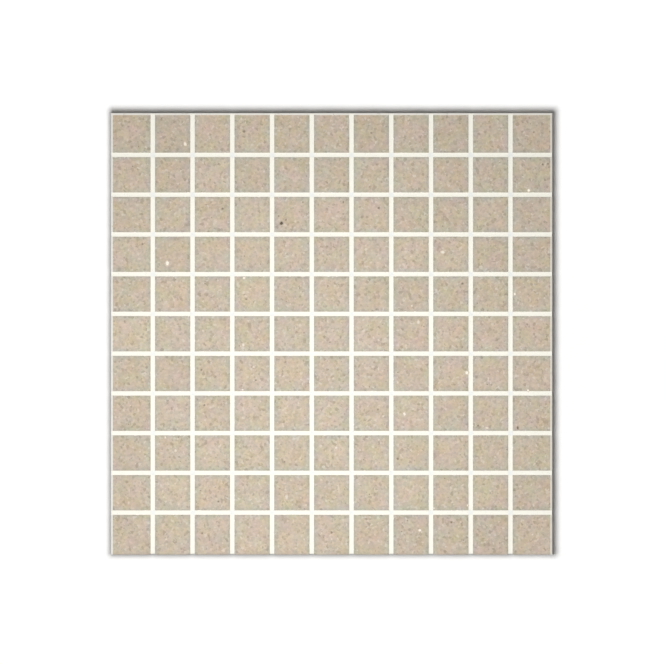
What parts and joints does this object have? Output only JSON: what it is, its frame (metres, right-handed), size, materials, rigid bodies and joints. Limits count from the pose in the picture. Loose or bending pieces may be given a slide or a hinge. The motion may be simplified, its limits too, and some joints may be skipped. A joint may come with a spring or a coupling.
{
  "type": "mosaic tile sheet",
  "caption": "Square mosaic sheet: a grid of small square polished stone chips with white filled joints, on a glass-fibre net that is bedded in adhesive on a wall or floor.",
  "frame": {"origin": "middle of the sheet, on the plane of the net's underside, which is the plane that the sheet is bedded on", "axes": "+X across the sheet and +Y up it, both along the joints; +Z out of the polished face"},
  "size_m": [0.3, 0.3, 0.0105],
  "materials": {
    "quartz_chip": "polished",
    "white_filler": "matte",
    "glass_net": "matte"
  },
  "bodies": {
    "root": {"chip_row_01": "quartz_chip", "chip_row_02": "quartz_chip", "chip_row_03": "quartz_chip", "chip_row_04": "quartz_chip", "chip_row_05": "quartz_chip", "chip_row_06": "quartz_chip", "chip_row_07": "quartz_chip", "chip_row_08": "quartz_chip", "chip_row_09": "quartz_chip", "chip_row_10": "quartz_chip", "chip_row_11": "quartz_chip", "joint_filler": "white_filler", "backing_net_1": "glass_net", "backing_net_2": "glass_net"}
  },
  "joints": []
}
